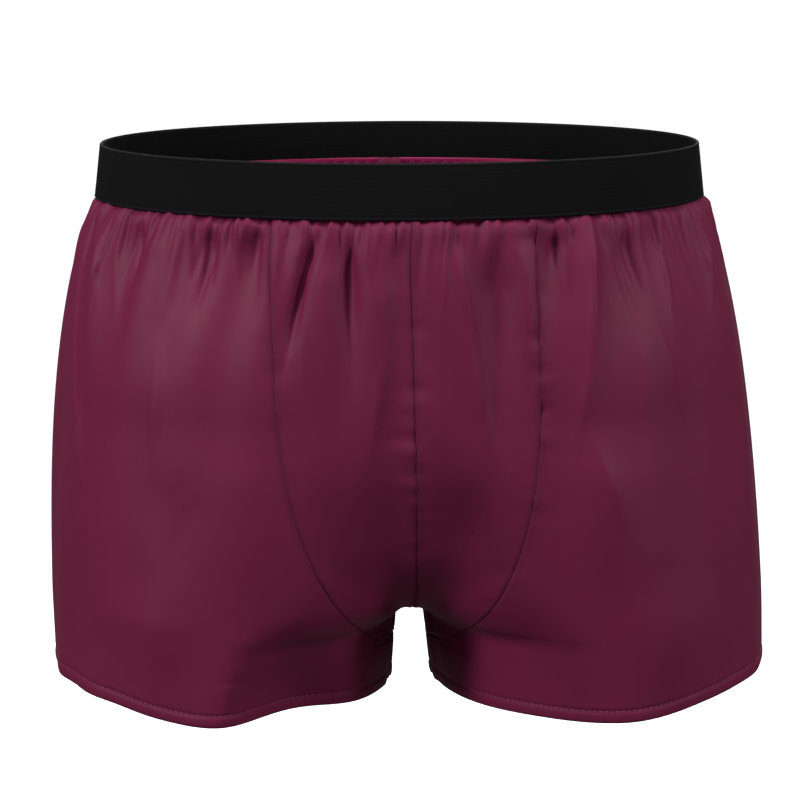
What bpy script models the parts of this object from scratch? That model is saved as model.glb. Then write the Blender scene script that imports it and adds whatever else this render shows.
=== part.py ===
"""Satin boxer shorts on an elastic waistband, in the hollow shape they take when worn.

Units are metres, +Z is up and the front faces -Y. The origin is the middle of the waistband's ring, where a
waist holds the shorts. Left and right are the wearer's, so the left side is at +X.

Each side of the shorts is lofted through level curves, which run from the centre front round the outside to
the centre back. Above the crotch the two sides meet on the middle plane; below it each curve closes on itself
round a leg. A panel is the stretch of those curves between two seams, given a wall by Solidify. The hem is
turned up from the leg panel's own cloth, so it isn't a piece of its own.
"""

import functools
import math

import bmesh
import bpy
import numpy as np

# Waistband, a strip of woven elastic
BAND_HEIGHT = 0.028
BAND_WALL = 0.0016
BAND_HALF_WIDTH = 0.158
BAND_HALF_DEPTH = 0.1085
BAND_TAPER = 0.003
BAND_SEGMENTS = 88
BAND_COLOUR = (0.0056, 0.0056, 0.006)
BAND_ROUGHNESS = 0.85
BAND_SHEEN = 0.2

# Cloth
CLOTH_WALL = 0.0011
SEAM_GAP = 0.0003
BAND_GAP = 0.0006
TUCK = 0.008
SATIN_COLOUR = (0.105, 0.0103, 0.0343)
SATIN_ROUGHNESS = 0.38

# Heights of the shorts, from the middle of the band
BAND_LOW = -BAND_HEIGHT / 2
CROTCH_Z = -0.2245
HEM_Z = -0.257
HEM_DROP = 0.0105
DROP_START = 0.012

# How far the cloth stands out from the band's lower edge, and over what depth
SIDE_FLARE = 0.0305
SIDE_FLARE_LENGTH = 0.08
BELLY_FLARE = 0.0095
BELLY_FLARE_LENGTH = 0.05
BELLY_FALL = 0.003
BELLY_FALL_START = 0.15
BELLY_FALL_LENGTH = 0.09
SEAT_FLARE = 0.024
SEAT_DEPTH = 0.12
SEAT_FALL = 0.010
HEM_PULL = 0.0012
HEM_PULL_START = 0.2
HEM_PULL_LENGTH = 0.05
ROLL_OUT = 0.004

# Crotch: the rise falls back a little between the legs, then curves under in a rounded corner, and the
# gap between the legs is a low arch
RISE_HEIGHT = 0.112
RISE_FALL = 0.2
CORNER_HEIGHT = 0.048
RISE_POWER = 2.5
ARCH_HALF_WIDTH = 0.0102
ARCH_HEIGHT = 0.005
HEM_GAP_HALF_WIDTH = 0.0115
FILLET = 0.20
BRIDGE = 0.62
HIP_SPREAD = 0.55

# Round the outside of each thigh the cloth hangs straight from the hip to the hem
HANG_START = -0.13
HANG_EASE = 0.04
HANG_TOP = -0.15
OUTER_REACH = 0.15
INNER_REACH = 0.205

# The pose: the hips lean to the wearer's left going down, and each leg opening turns out and narrows to the
# front, by one amount on its inner half and another on its outer half
LEAN = 0.027
LEAN_START = 0.0012
LEAN_ROLL = 0.02
TURN_OUT = {1: 0.0, -1: 0.05}
INNER_POINT = {1: 0.03, -1: 0.26}
OUTER_POINT = {1: 0.03, -1: 0.06}

# Curved front seams: distance from the middle plane at the band, and how they curve in to the inseam
SEAM_HALF_WIDTH = {1: 0.063, -1: 0.069}
SEAM_BEND_Z = -0.08
SEAM_POWER = 2.6
SEAM_ROUNDING = 0.7
TIP_WIDTH = 0.004

# Mesh
UPPER_ROWS = 12
UPPER_GRADING = 2
LOWER_ROWS = 7
LOWER_GRADING = 1.6
TIP_ROW = 4
LEG_COLUMNS = 36
CROTCH_PULL = 3
FRONT_COLUMNS = 13
EDGE_STEP = 0.0012
SLOPE_STEP = 0.0005
CURVE_POINTS = 721
BISECTIONS = 48
SHORTEST_RAY = 0.2
LONGEST_RAY = 2.6
TINY = 1e-9

# Largest folds. Angles are in degrees round the vertical axis from the front, positive to the wearer's left,
# and depths are in metres below the band. Each fold: angle and depth at its top, angle and depth at its foot,
# half-width in metres, height in metres (a trough is negative). The fades are the shares of a fold's length
# over which it rises at its top and dies away at its foot; one that starts low down rises softly.
FOLD_TOP_FADE = 0.2
SOFT_TOP_FADE = 0.5
FOLD_FOOT_FADE = 0.75
HANGING_FROM = 0.03
FOLDS = [
    (21.0, 0.006, 19.0, 0.170, 0.0125, -0.0062),
    (10.0, 0.010, 9.0, 0.110, 0.0085, 0.0020),
    (27.0, 0.012, 27.0, 0.090, 0.0060, 0.0022),
    (37.5, 0.008, 35.5, 0.060, 0.0060, -0.0022),
    (44.5, 0.004, 38.0, 0.100, 0.0080, 0.0038),
    (38.0, 0.090, 43.0, 0.205, 0.0160, 0.0025),
    (52.5, 0.006, 50.0, 0.075, 0.0090, -0.0032),
    (61.5, 0.003, 56.0, 0.110, 0.0090, 0.0030),
    (75.0, 0.004, 66.0, 0.130, 0.0100, 0.0026),
    (-7.0, 0.020, -7.5, 0.120, 0.0070, 0.0020),
    (-15.0, 0.010, -14.0, 0.110, 0.0070, -0.0026),
    (-20.0, 0.014, -20.0, 0.100, 0.0080, 0.0022),
    (-24.0, 0.004, -31.0, 0.085, 0.0060, -0.0030),
    (-27.5, 0.006, -30.0, 0.060, 0.0050, 0.0020),
    (-38.5, 0.004, -38.0, 0.070, 0.0080, -0.0020),
    (-48.5, 0.004, -47.5, 0.070, 0.0090, -0.0030),
    (-54.5, 0.050, -53.0, 0.140, 0.0130, 0.0022),
    (-49.0, 0.115, -48.0, 0.190, 0.0140, -0.0022),
    (12.0, 0.120, 13.0, 0.215, 0.0100, -0.0036),
    (-65.5, 0.003, -62.0, 0.090, 0.0090, -0.0032),
    (-76.0, 0.004, -68.0, 0.110, 0.0080, 0.0026),
    (-84.0, 0.004, -73.0, 0.170, 0.0100, 0.0014),
    (98.0, 0.004, 100.0, 0.120, 0.0110, 0.0028),
    (118.0, 0.004, 116.0, 0.130, 0.0100, -0.0030),
    (136.0, 0.004, 138.0, 0.110, 0.0100, 0.0030),
    (156.0, 0.004, 152.0, 0.130, 0.0110, -0.0032),
    (-104.0, 0.004, -102.0, 0.120, 0.0110, -0.0028),
    (-124.0, 0.004, -126.0, 0.130, 0.0110, 0.0032),
    (-143.0, 0.004, -141.0, 0.120, 0.0100, -0.0030),
    (-162.0, 0.004, -164.0, 0.110, 0.0110, 0.0028),
]


def smooth(x):
    """Runs from 0 to 1 with flat ends."""
    x = np.clip(x, 0.0, 1.0)
    return x * x * (3.0 - 2.0 * x)


def clear_scene():
    for ob in list(bpy.context.scene.objects):
        bpy.data.objects.remove(ob, do_unlink=True)


def finish(name, colour, roughness, sheen=0.0):
    """A Principled material for one sub-part."""
    material = bpy.data.materials.new(name)
    material.use_nodes = True
    shader = material.node_tree.nodes["Principled BSDF"]
    shader.inputs["Base Color"].default_value = (*colour, 1.0)
    shader.inputs["Roughness"].default_value = roughness
    shader.inputs["Sheen Weight"].default_value = sheen
    material.diffuse_color = (*colour, 1.0)
    return material


def add_object(name, mesh, material, collection):
    ob = bpy.data.objects.new(name, mesh)
    mesh.materials.append(material)
    collection.objects.link(ob)
    return ob


def tucked_in(z):
    """How far inside the band's lower edge the middle of the cloth's wall lies, at a height behind the band."""
    return BAND_WALL + BAND_GAP + CLOTH_WALL / 2 + BAND_TAPER * max(z - BAND_LOW, 0.0) / BAND_HEIGHT


def roll_out(depth):
    """0 behind the band, 1 once the cloth has rolled out from under its edge."""
    return smooth(depth / ROLL_OUT)


def half_width(z):
    depth = max(BAND_LOW - z, 0.0)
    flare = SIDE_FLARE * (1.0 - math.exp(-depth / SIDE_FLARE_LENGTH))
    pull = HEM_PULL * smooth((depth - HEM_PULL_START) / HEM_PULL_LENGTH)
    return BAND_HALF_WIDTH - tucked_in(z) * (1.0 - roll_out(depth)) + flare - pull


def front_depth(z):
    depth = max(BAND_LOW - z, 0.0)
    flare = BELLY_FLARE * (1.0 - math.exp(-depth / BELLY_FLARE_LENGTH))
    fall = BELLY_FALL * smooth((depth - BELLY_FALL_START) / BELLY_FALL_LENGTH)
    return BAND_HALF_DEPTH - tucked_in(z) * (1.0 - roll_out(depth)) + flare - fall


def back_depth(z):
    depth = max(BAND_LOW - z, 0.0)
    flare = SEAT_FLARE * math.sin(math.pi / 2 * min(depth / SEAT_DEPTH, 1.0))
    fall = SEAT_FALL * smooth((depth - SEAT_DEPTH) / SEAT_DEPTH)
    return BAND_HALF_DEPTH - tucked_in(z) * (1.0 - roll_out(depth)) + flare - fall


def fillet(z):
    """How softly the two sides join: broad across the belly and seat, tight at the crotch."""
    return FILLET + (BRIDGE - FILLET) * smooth((z - CROTCH_Z) / CORNER_HEIGHT)


def spread(z):
    """Distance from the middle plane to a leg's centre, over the leg's half-width.

    Two circles of that spacing, smoothly joined, give the level curve before it is stretched to its real
    size. At 0 they are one oval, as at the band; they part at 1 + fillet / 4, which is the crotch.
    """
    height = z - CROTCH_Z
    parting = 1.0 + fillet(z) / 4
    if height >= RISE_HEIGHT:
        run = max(BAND_LOW - z, 0.0) / (BAND_LOW - CROTCH_Z - RISE_HEIGHT)
        return HIP_SPREAD * math.sqrt(math.sin(math.pi / 2 * run))
    if height >= 0.0:
        under = (1.0 - min(height / CORNER_HEIGHT, 1.0)) ** RISE_POWER
        rise = (1.0 - under) ** (1.0 / RISE_POWER) * (1.0 - RISE_FALL * smooth(1.0 - height / RISE_HEIGHT))
        front = rise * math.sqrt((1.0 + BRIDGE / 4) ** 2 - HIP_SPREAD**2)
        return math.sqrt(max(parting * parting - front * front, 0.0))
    corner = 1.0 - min(-height / ARCH_HEIGHT, 1.0)
    gap = ARCH_HALF_WIDTH * math.sqrt(1.0 - corner * corner)
    gap += (HEM_GAP_HALF_WIDTH - ARCH_HALF_WIDTH) * min(-height / (CROTCH_Z - HEM_Z), 1.0)
    part = gap / ((half_width(z) - gap) / 2)
    if part > FILLET / 2:
        return 1.0 + part
    return parting + part * part / FILLET


def joined_circles(x, y, centre, soft):
    """Negative inside two unit circles at +-centre, whose meeting is rounded by soft."""
    near = np.hypot(x - centre, y) - 1.0
    far = np.hypot(x + centre, y) - 1.0
    mix = np.maximum(soft - np.abs(near - far), 0.0) / soft
    return np.minimum(near, far) - mix * mix * soft / 4


@functools.cache
def unit_curve(z):
    """One side's level curve as shares of its size: distances from the side in metres, x and y."""
    centre = spread(z)
    soft = fillet(z)
    parting = 1.0 + soft / 4
    meet = math.sqrt(max(parting * parting - centre * centre, 0.0))
    start = math.atan2(-centre, meet)
    angle = np.linspace(start, math.pi - start, CURVE_POINTS)
    across = np.sin(angle)
    along = -np.cos(angle)
    low = np.full(CURVE_POINTS, SHORTEST_RAY)
    high = np.full(CURVE_POINTS, LONGEST_RAY)
    inward = across < -TINY
    high[inward] = np.minimum(high[inward], centre / -across[inward])
    for _ in range(BISECTIONS):
        middle = (low + high) / 2
        inside = joined_circles(centre + middle * across, middle * along, centre, soft) < 0.0
        low = np.where(inside, middle, low)
        high = np.where(inside, high, middle)
    x = np.maximum(centre + low * across, 0.0)
    y = low * along
    x = x / x.max()
    y = np.where(y < 0.0, y / -y.min(), y / y.max())
    distance = lengths(*stretched(x, y, z))
    return distance - distance[int(np.argmax(x))], x, y


def stretched(x, y, z):
    """Shares of a level's size turned into metres."""
    return x * half_width(z), np.where(y < 0.0, y * front_depth(z), y * back_depth(z))


def lengths(x, y):
    return np.concatenate([[0.0], np.cumsum(np.hypot(np.diff(x), np.diff(y)))])


def level_curve(z):
    """One side's level curve on the +X side: distances along it, x, y and its outward normals."""
    from_side, x, y = unit_curve(z)
    run = (HANG_TOP - z) / (HANG_TOP - HEM_Z)
    share = smooth((HANG_START - z) / HANG_EASE)
    share = share * smooth((INNER_REACH - np.abs(from_side)) / (INNER_REACH - OUTER_REACH))
    hip, hip_x, hip_y = unit_curve(HANG_TOP)
    hem, hem_x, hem_y = unit_curve(HEM_Z)
    hung_x = np.interp(from_side, hip, hip_x) * (1.0 - run) + np.interp(from_side, hem, hem_x) * run
    hung_y = np.interp(from_side, hip, hip_y) * (1.0 - run) + np.interp(from_side, hem, hem_y) * run
    x, y = stretched(x + share * (hung_x - x), y + share * (hung_y - y), z)
    distance = lengths(x, y)
    normal_x = np.gradient(y, distance)
    normal_y = -np.gradient(x, distance)
    return distance, x, y, normal_x, normal_y


def across_leg(x, z):
    """Where a point lies across its leg: -1 at the inside, 0 at the leg's centre, 1 at the outside."""
    leg_half_width = half_width(z) / (1.0 + spread(z))
    return np.clip((x - half_width(z) + leg_half_width) / leg_half_width, -1.0, 1.0)


def hem_drop(x, z):
    """The hem hangs lower in front, inside and behind than at the side."""
    out = np.maximum(across_leg(x, z), 0.0)
    start = CROTCH_Z + DROP_START
    return HEM_DROP * (1.0 - smooth(out)) * smooth((start - z) / (start - HEM_Z))


def fold_height(x, y, z):
    """How far the folds lift the cloth outward at points of one level."""
    turn = np.degrees(np.arctan2(x, -y))
    depth = BAND_LOW - z
    radius = np.hypot(x, y)
    height = np.zeros_like(turn)
    for top_turn, top, foot_turn, foot, half, lift in FOLDS:
        run = (depth - top) / (foot - top)
        if not 0.0 < run < 1.0:
            continue
        centre = top_turn + (foot_turn - top_turn) * run
        across = np.radians((turn - centre + 180.0) % 360.0 - 180.0) * radius
        top_fade = FOLD_TOP_FADE if top < HANGING_FROM else SOFT_TOP_FADE
        fade = smooth(run / top_fade) * smooth((1.0 - run) / FOLD_FOOT_FADE)
        height += lift * fade * np.exp(-((across / half) ** 2))
    return height


def upper_levels():
    """Heights from behind the band down to the crotch, closer together where the rise curves under."""
    steps = np.arange(UPPER_ROWS, -1, -1) / UPPER_ROWS
    graded = CROTCH_Z + (BAND_LOW - ROLL_OUT - CROTCH_Z) * steps**UPPER_GRADING
    return [BAND_LOW + TUCK, BAND_LOW, *graded.tolist()]


def lower_levels():
    """Heights from just below the crotch to the hem."""
    steps = np.arange(1, LOWER_ROWS + 1) / LOWER_ROWS
    return (CROTCH_Z - (CROTCH_Z - HEM_Z) * steps**LOWER_GRADING).tolist()


def seam_across(side, z):
    """How far from the middle plane the curved seam lies at one height."""
    run = np.clip((SEAM_BEND_Z - z) / (SEAM_BEND_Z - tip_height()), 0.0, 1.0)
    bend = (1.0 - run**SEAM_POWER) ** SEAM_ROUNDING
    return ARCH_HALF_WIDTH + (SEAM_HALF_WIDTH[side] - ARCH_HALF_WIDTH) * bend


def tip_height():
    """Where the front panel ends, at the inseam below the crotch."""
    return lower_levels()[TIP_ROW - 1]


def seam_distance(side, z, curve):
    """Distance along a level curve, from its front end, to the curved seam."""
    distance, x, _, _, _ = curve
    front = slice(0, int(np.argmax(x)) + 1)
    return max(float(np.interp(seam_across(side, z), x[front], distance[front])), TIP_WIDTH)


def front_seam(side, z, curve):
    """Distance along a level curve to the curved seam, and half the seam's gap measured along that curve.

    Under the crotch the seam runs back to the inseam, almost along the level curves, so the gap is longer.
    """
    reach = []
    for near in (z + SLOPE_STEP, z - SLOPE_STEP):
        other = level_curve(near)
        reach.append(other[0][int(np.argmax(other[1]))] - seam_distance(side, near, other))
    slope = (reach[1] - reach[0]) / (2 * SLOPE_STEP)
    return seam_distance(side, z, curve), SEAM_GAP / 2 * math.hypot(1.0, slope)


def cloth_points(side, z, curve, distances):
    """Points on the folded cloth at one level, at these distances along its curve."""
    distance, x, y, normal_x, normal_y = curve
    clear = SEAM_GAP / 2 + CLOTH_WALL / 2 * math.exp(-(((z - CROTCH_Z) / ARCH_HEIGHT) ** 2))
    at_x = np.maximum(np.interp(distances, distance, x), clear)
    at_y = np.interp(distances, distance, y)
    out_x = np.interp(distances, distance, normal_x)
    out_y = np.interp(distances, distance, normal_y)
    lift = fold_height(side * at_x, at_y, z)
    drop = hem_drop(at_x, z)
    low = smooth((CROTCH_Z + DROP_START - z) / (CROTCH_Z + DROP_START - HEM_Z))
    turn = TURN_OUT[side] * smooth((CROTCH_Z - z) / (CROTCH_Z - HEM_Z))
    out = across_leg(at_x, z)
    point = np.where(out < 0.0, INNER_POINT[side], OUTER_POINT[side]) * low * np.sin(math.pi * out) ** 2
    at_y = np.where(at_y < 0.0, at_y * (1.0 - point), at_y)
    final_z = z - drop
    final_x = side * (at_x + lift * out_x - turn * np.minimum(at_y, 0.0))
    lean = LEAN * np.maximum(BAND_LOW - final_z, 0.0) - LEAN_START * smooth((BAND_LOW - z) / LEAN_ROLL)
    return np.stack([final_x + lean, at_y + lift * out_y, final_z], axis=1)


def front_distances(side, z, curve):
    """Where a front panel's columns lie on one level, from the centre front or the inseam to the curved seam."""
    seam, half_gap = front_seam(side, z, curve)
    first = SEAM_GAP / 2
    last = seam - half_gap
    inner = np.linspace(first + EDGE_STEP, last - EDGE_STEP, FRONT_COLUMNS - 1)
    return np.concatenate([[first], inner, [last]])


def leg_distances(side, z, curve):
    """Where a leg panel's columns lie on one level, from the curved seam or the inseam round to the centre back.

    They keep their distances from the side, and what the crotch adds to the cloth's width is taken up near
    the middle, so that the columns run straight down the thigh.
    """
    distance, x, _, _, _ = curve
    middle = distance[int(np.argmax(x))]
    first = SEAM_GAP / 2
    if z >= tip_height():
        seam, half_gap = front_seam(side, z, curve)
        first = seam + half_gap
    plain_front = quarter_oval(half_width(z), front_depth(z)) - seam_across(side, z)
    plain_back = quarter_oval(half_width(z), back_depth(z))
    part = np.linspace(0.0, 1.0, LEG_COLUMNS // 2 + 1)
    before = part * plain_front + (middle - first - plain_front) * part**CROTCH_PULL
    reach = distance[-1] - SEAM_GAP / 2 - middle
    after = part * plain_back + (reach - plain_back) * part**CROTCH_PULL
    spots = np.concatenate([middle - before[::-1], middle + after[1:]])
    return np.concatenate([[spots[0], spots[0] + EDGE_STEP], spots[1:-1], [spots[-1] - EDGE_STEP, spots[-1]]])


def quarter_oval(a, b):
    """Length of a quarter of an oval's edge."""
    h = ((a - b) / (a + b)) ** 2
    return math.pi / 4 * (a + b) * (1.0 + 3.0 * h / (10.0 + math.sqrt(4.0 - 3.0 * h)))


def panel_mesh(name, side, rows, distances):
    """An open sheet of cloth between two seams, with a wall given later by Solidify."""
    bm = bmesh.new()
    grid = []
    for z in rows:
        curve = level_curve(z)
        points = cloth_points(side, z, curve, distances(side, z, curve))
        grid.append([bm.verts.new(p) for p in points])
    for upper, lower in zip(grid, grid[1:]):
        for i in range(len(upper) - 1):
            corners = (upper[i], upper[i + 1], lower[i + 1], lower[i])
            bm.faces.new(corners if side < 0 else corners[::-1])
    bmesh.ops.recalc_face_normals(bm, faces=bm.faces[:])
    mesh = bpy.data.meshes.new(name)
    bm.to_mesh(mesh)
    bm.free()
    mesh.shade_smooth()
    return mesh


def add_wall(ob, thickness, offset):
    wall = ob.modifiers.new("Wall", "SOLIDIFY")
    wall.thickness = thickness
    wall.offset = offset
    wall.use_even_offset = True


def add_panel(name, side, rows, distances, material, collection):
    ob = add_object(name, panel_mesh(name, side, rows, distances), material, collection)
    add_wall(ob, CLOTH_WALL, 0.0)
    return ob


def add_waistband(material, collection):
    """The ring of elastic: an oval strip, a little narrower at its top."""
    bm = bmesh.new()
    rings = []
    for z, taper in ((BAND_LOW, 0.0), (BAND_HEIGHT / 2, BAND_TAPER)):
        ring = []
        for i in range(BAND_SEGMENTS):
            angle = 2 * math.pi * i / BAND_SEGMENTS
            x = (BAND_HALF_WIDTH - taper) * math.sin(angle)
            y = -(BAND_HALF_DEPTH - taper) * math.cos(angle)
            ring.append(bm.verts.new((x, y, z)))
        rings.append(ring)
    for i in range(BAND_SEGMENTS):
        after = (i + 1) % BAND_SEGMENTS
        bm.faces.new((rings[0][i], rings[0][after], rings[1][after], rings[1][i]))
    mesh = bpy.data.meshes.new("waistband")
    bm.to_mesh(mesh)
    bm.free()
    mesh.shade_smooth()
    ob = add_object("waistband", mesh, material, collection)
    add_wall(ob, BAND_WALL, -1.0)
    return ob


def build():
    clear_scene()
    collection = bpy.data.collections.new("satin_boxer_shorts")
    bpy.context.scene.collection.children.link(collection)
    add_waistband(finish("waistband_elastic", BAND_COLOUR, BAND_ROUGHNESS, BAND_SHEEN), collection)
    top = upper_levels()
    low = lower_levels()
    for side, word in ((1, "left"), (-1, "right")):
        front = finish(f"front_satin_{word}", SATIN_COLOUR, SATIN_ROUGHNESS)
        leg = finish(f"leg_satin_{word}", SATIN_COLOUR, SATIN_ROUGHNESS)
        front_rows = top + low[:TIP_ROW]
        add_panel(f"front_panel_{word}", side, front_rows, front_distances, front, collection)
        add_panel(f"leg_panel_{word}", side, top + low, leg_distances, leg, collection)


build()
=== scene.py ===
# %% [markdown]
# # Satin boxer shorts on a woven elastic
#
# Five pieces are cut for these shorts: one strip of elastic, two halves of a contoured front, and two leg
# pieces that run from the curved front seam round the side to the centre back. Satin shows every fold as a
# band of light, so most of this lesson is about giving thin cloth the right soft troughs and ridges.
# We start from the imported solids, which fix the size and the place of every piece.

import functools
import math

import bpy
import numpy as np
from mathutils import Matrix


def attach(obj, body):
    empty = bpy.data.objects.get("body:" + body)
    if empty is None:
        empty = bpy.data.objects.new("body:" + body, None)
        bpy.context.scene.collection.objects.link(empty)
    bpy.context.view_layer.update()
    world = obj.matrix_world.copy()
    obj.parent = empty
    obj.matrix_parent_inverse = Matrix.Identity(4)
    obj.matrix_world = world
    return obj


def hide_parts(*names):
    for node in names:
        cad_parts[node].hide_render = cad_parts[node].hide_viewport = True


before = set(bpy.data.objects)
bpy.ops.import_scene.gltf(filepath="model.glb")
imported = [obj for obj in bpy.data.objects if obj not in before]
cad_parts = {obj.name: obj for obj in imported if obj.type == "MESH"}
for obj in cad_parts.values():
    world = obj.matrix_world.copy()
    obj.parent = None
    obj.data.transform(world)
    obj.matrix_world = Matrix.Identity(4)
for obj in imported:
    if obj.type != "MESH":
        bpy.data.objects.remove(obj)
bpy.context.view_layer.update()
print("nodes", sorted(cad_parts))

# %% [markdown]
# ## The camera
#
# A long lens far away keeps the waist and the hems in nearly straight lines. It stands a little to the
# wearer's right, above the waist, and looks slightly down, so the inside of the band's back shows over its
# front. Only the lens frames the shorts: depth of field and shift stay off.

# %% Camera
CAMERA_AWAY = 1.95
CAMERA_TURN = math.radians(-3.0)
CAMERA_UP = 0.22
CAMERA_TILT = math.radians(9.95)
LENS_MM = 170.1

camera_data = bpy.data.cameras.new("camera")
camera_data.lens = LENS_MM
camera_data.sensor_width = 36.0
camera = bpy.data.objects.new("camera", camera_data)
camera.location = (CAMERA_AWAY * math.sin(CAMERA_TURN), -CAMERA_AWAY * math.cos(CAMERA_TURN), CAMERA_UP)
camera.rotation_euler = (math.pi / 2 - CAMERA_TILT, 0.0, CAMERA_TURN)
bpy.context.scene.collection.objects.link(camera)
bpy.context.scene.camera = camera
bpy.context.scene.view_settings.view_transform = "Standard"
print("camera at", [round(v, 3) for v in camera.location])

# %% [markdown]
# ## The cut and the pose in numbers
#
# The cloth follows the same level curves as the solids. A level curve is what you would see if you sliced one
# side of the shorts flat at one height. It starts at the centre front, runs round the outside and ends at the
# centre back; under the crotch it closes round one leg. Keeping the numbers together here means that the
# fine cloth can't drift away from the solid it stands for.

# %% Sizes
BAND_HEIGHT = 0.028
BAND_WALL = 0.0016
BAND_HALF_WIDTH = 0.158
BAND_HALF_DEPTH = 0.1085
BAND_TAPER = 0.003
BAND_LOW = -BAND_HEIGHT / 2
CLOTH_WALL = 0.0011
BAND_GAP = 0.0006
TUCK = 0.008
CROTCH_Z = -0.2245
HEM_Z = -0.257
HEM_DROP = 0.0105
DROP_START = 0.012
SIDE_FLARE, SIDE_FLARE_LENGTH = 0.0305, 0.08
BELLY_FLARE, BELLY_FLARE_LENGTH = 0.0095, 0.05
BELLY_FALL, BELLY_FALL_START, BELLY_FALL_LENGTH = 0.003, 0.15, 0.09
SEAT_FLARE, SEAT_DEPTH, SEAT_FALL = 0.024, 0.12, 0.010
HEM_PULL, HEM_PULL_START, HEM_PULL_LENGTH = 0.0012, 0.2, 0.05
ROLL_OUT = 0.004
RISE_HEIGHT, RISE_FALL, CORNER_HEIGHT, RISE_POWER = 0.112, 0.2, 0.048, 2.5
ARCH_HALF_WIDTH, ARCH_HEIGHT = 0.0102, 0.005
HEM_GAP_HALF_WIDTH = 0.0115
FILLET, BRIDGE, HIP_SPREAD = 0.20, 0.62, 0.55
LEAN, LEAN_START, LEAN_ROLL = 0.027, 0.0012, 0.02
TURN_OUT = {1: 0.0, -1: 0.05}
INNER_POINT = {1: 0.03, -1: 0.26}
OUTER_POINT = {1: 0.03, -1: 0.06}
SEAM_HALF_WIDTH = {1: 0.063, -1: 0.069}
SEAM_BEND_Z, SEAM_POWER, SEAM_ROUNDING = -0.08, 2.6, 0.7
HANG_START, HANG_EASE, HANG_TOP = -0.13, 0.04, -0.15
OUTER_REACH, INNER_REACH = 0.15, 0.205
INSEAM_TIP_Z = -0.2378
TIP_WIDTH = 0.004
CURVE_POINTS, BISECTIONS = 721, 48


def smooth(x):
    """Runs from 0 to 1 with flat ends."""
    x = np.clip(x, 0.0, 1.0)
    return x * x * (3.0 - 2.0 * x)


# %% [markdown]
# ## One level curve
#
# The hips are one oval at the band and two ovals at the legs. Between them we need a shape that starts to
# pinch in the middle and then parts, with a soft corner all the way. Two circles joined by a rounded minimum
# do that: the distance between their centres grows going down, and where they part is the crotch. The curve
# is found by walking out along rays and halving the step, then stretched to the width and depth of its level.


# %% Level curves
def behind_band(z):
    """How far the cloth lies inside the band's lower edge while it is tucked behind the elastic."""
    tuck = BAND_WALL + BAND_GAP + CLOTH_WALL / 2 + BAND_TAPER * max(z - BAND_LOW, 0.0) / BAND_HEIGHT
    return tuck * (1.0 - smooth(max(BAND_LOW - z, 0.0) / ROLL_OUT))


def half_width(z):
    depth = max(BAND_LOW - z, 0.0)
    flare = SIDE_FLARE * (1.0 - math.exp(-depth / SIDE_FLARE_LENGTH))
    pull = HEM_PULL * smooth((depth - HEM_PULL_START) / HEM_PULL_LENGTH)
    return BAND_HALF_WIDTH - behind_band(z) + flare - pull


def front_depth(z):
    depth = max(BAND_LOW - z, 0.0)
    flare = BELLY_FLARE * (1.0 - math.exp(-depth / BELLY_FLARE_LENGTH))
    fall = BELLY_FALL * smooth((depth - BELLY_FALL_START) / BELLY_FALL_LENGTH)
    return BAND_HALF_DEPTH - behind_band(z) + flare - fall


def back_depth(z):
    depth = max(BAND_LOW - z, 0.0)
    flare = SEAT_FLARE * math.sin(math.pi / 2 * min(depth / SEAT_DEPTH, 1.0))
    fall = SEAT_FALL * smooth((depth - SEAT_DEPTH) / SEAT_DEPTH)
    return BAND_HALF_DEPTH - behind_band(z) + flare - fall


def fillet(z):
    return FILLET + (BRIDGE - FILLET) * smooth((z - CROTCH_Z) / CORNER_HEIGHT)


def spread(z):
    """Distance from the middle plane to a leg's centre, over the leg's half-width."""
    height = z - CROTCH_Z
    parting = 1.0 + fillet(z) / 4
    if height >= RISE_HEIGHT:
        run = max(BAND_LOW - z, 0.0) / (BAND_LOW - CROTCH_Z - RISE_HEIGHT)
        return HIP_SPREAD * math.sqrt(math.sin(math.pi / 2 * run))
    if height >= 0.0:
        under = (1.0 - min(height / CORNER_HEIGHT, 1.0)) ** RISE_POWER
        rise = (1.0 - under) ** (1.0 / RISE_POWER) * (1.0 - RISE_FALL * smooth(1.0 - height / RISE_HEIGHT))
        front = rise * math.sqrt((1.0 + BRIDGE / 4) ** 2 - HIP_SPREAD**2)
        return math.sqrt(max(parting * parting - front * front, 0.0))
    corner = 1.0 - min(-height / ARCH_HEIGHT, 1.0)
    gap = ARCH_HALF_WIDTH * math.sqrt(1.0 - corner * corner)
    gap += (HEM_GAP_HALF_WIDTH - ARCH_HALF_WIDTH) * min(-height / (CROTCH_Z - HEM_Z), 1.0)
    part = gap / ((half_width(z) - gap) / 2)
    if part > FILLET / 2:
        return 1.0 + part
    return parting + part * part / FILLET


def joined_circles(x, y, centre, soft):
    near = np.hypot(x - centre, y) - 1.0
    far = np.hypot(x + centre, y) - 1.0
    mix = np.maximum(soft - np.abs(near - far), 0.0) / soft
    return np.minimum(near, far) - mix * mix * soft / 4


@functools.cache
def unit_curve(z):
    """A level curve as shares of its size: distances from the side in metres, x and y."""
    centre = spread(z)
    soft = fillet(z)
    parting = 1.0 + soft / 4
    start = math.atan2(-centre, math.sqrt(max(parting * parting - centre * centre, 0.0)))
    angle = np.linspace(start, math.pi - start, CURVE_POINTS)
    across, along = np.sin(angle), -np.cos(angle)
    low, high = np.full(CURVE_POINTS, 0.2), np.full(CURVE_POINTS, 2.6)
    inward = across < -1e-9
    high[inward] = np.minimum(high[inward], centre / -across[inward])
    for _ in range(BISECTIONS):
        middle = (low + high) / 2
        inside = joined_circles(centre + middle * across, middle * along, centre, soft) < 0.0
        low, high = np.where(inside, middle, low), np.where(inside, high, middle)
    x = np.maximum(centre + low * across, 0.0)
    y = low * along
    x = x / x.max()
    y = np.where(y < 0.0, y / -y.min(), y / y.max())
    distance = lengths(*stretched(x, y, z))
    return distance - distance[int(np.argmax(x))], x, y


def stretched(x, y, z):
    return x * half_width(z), np.where(y < 0.0, y * front_depth(z), y * back_depth(z))


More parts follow.
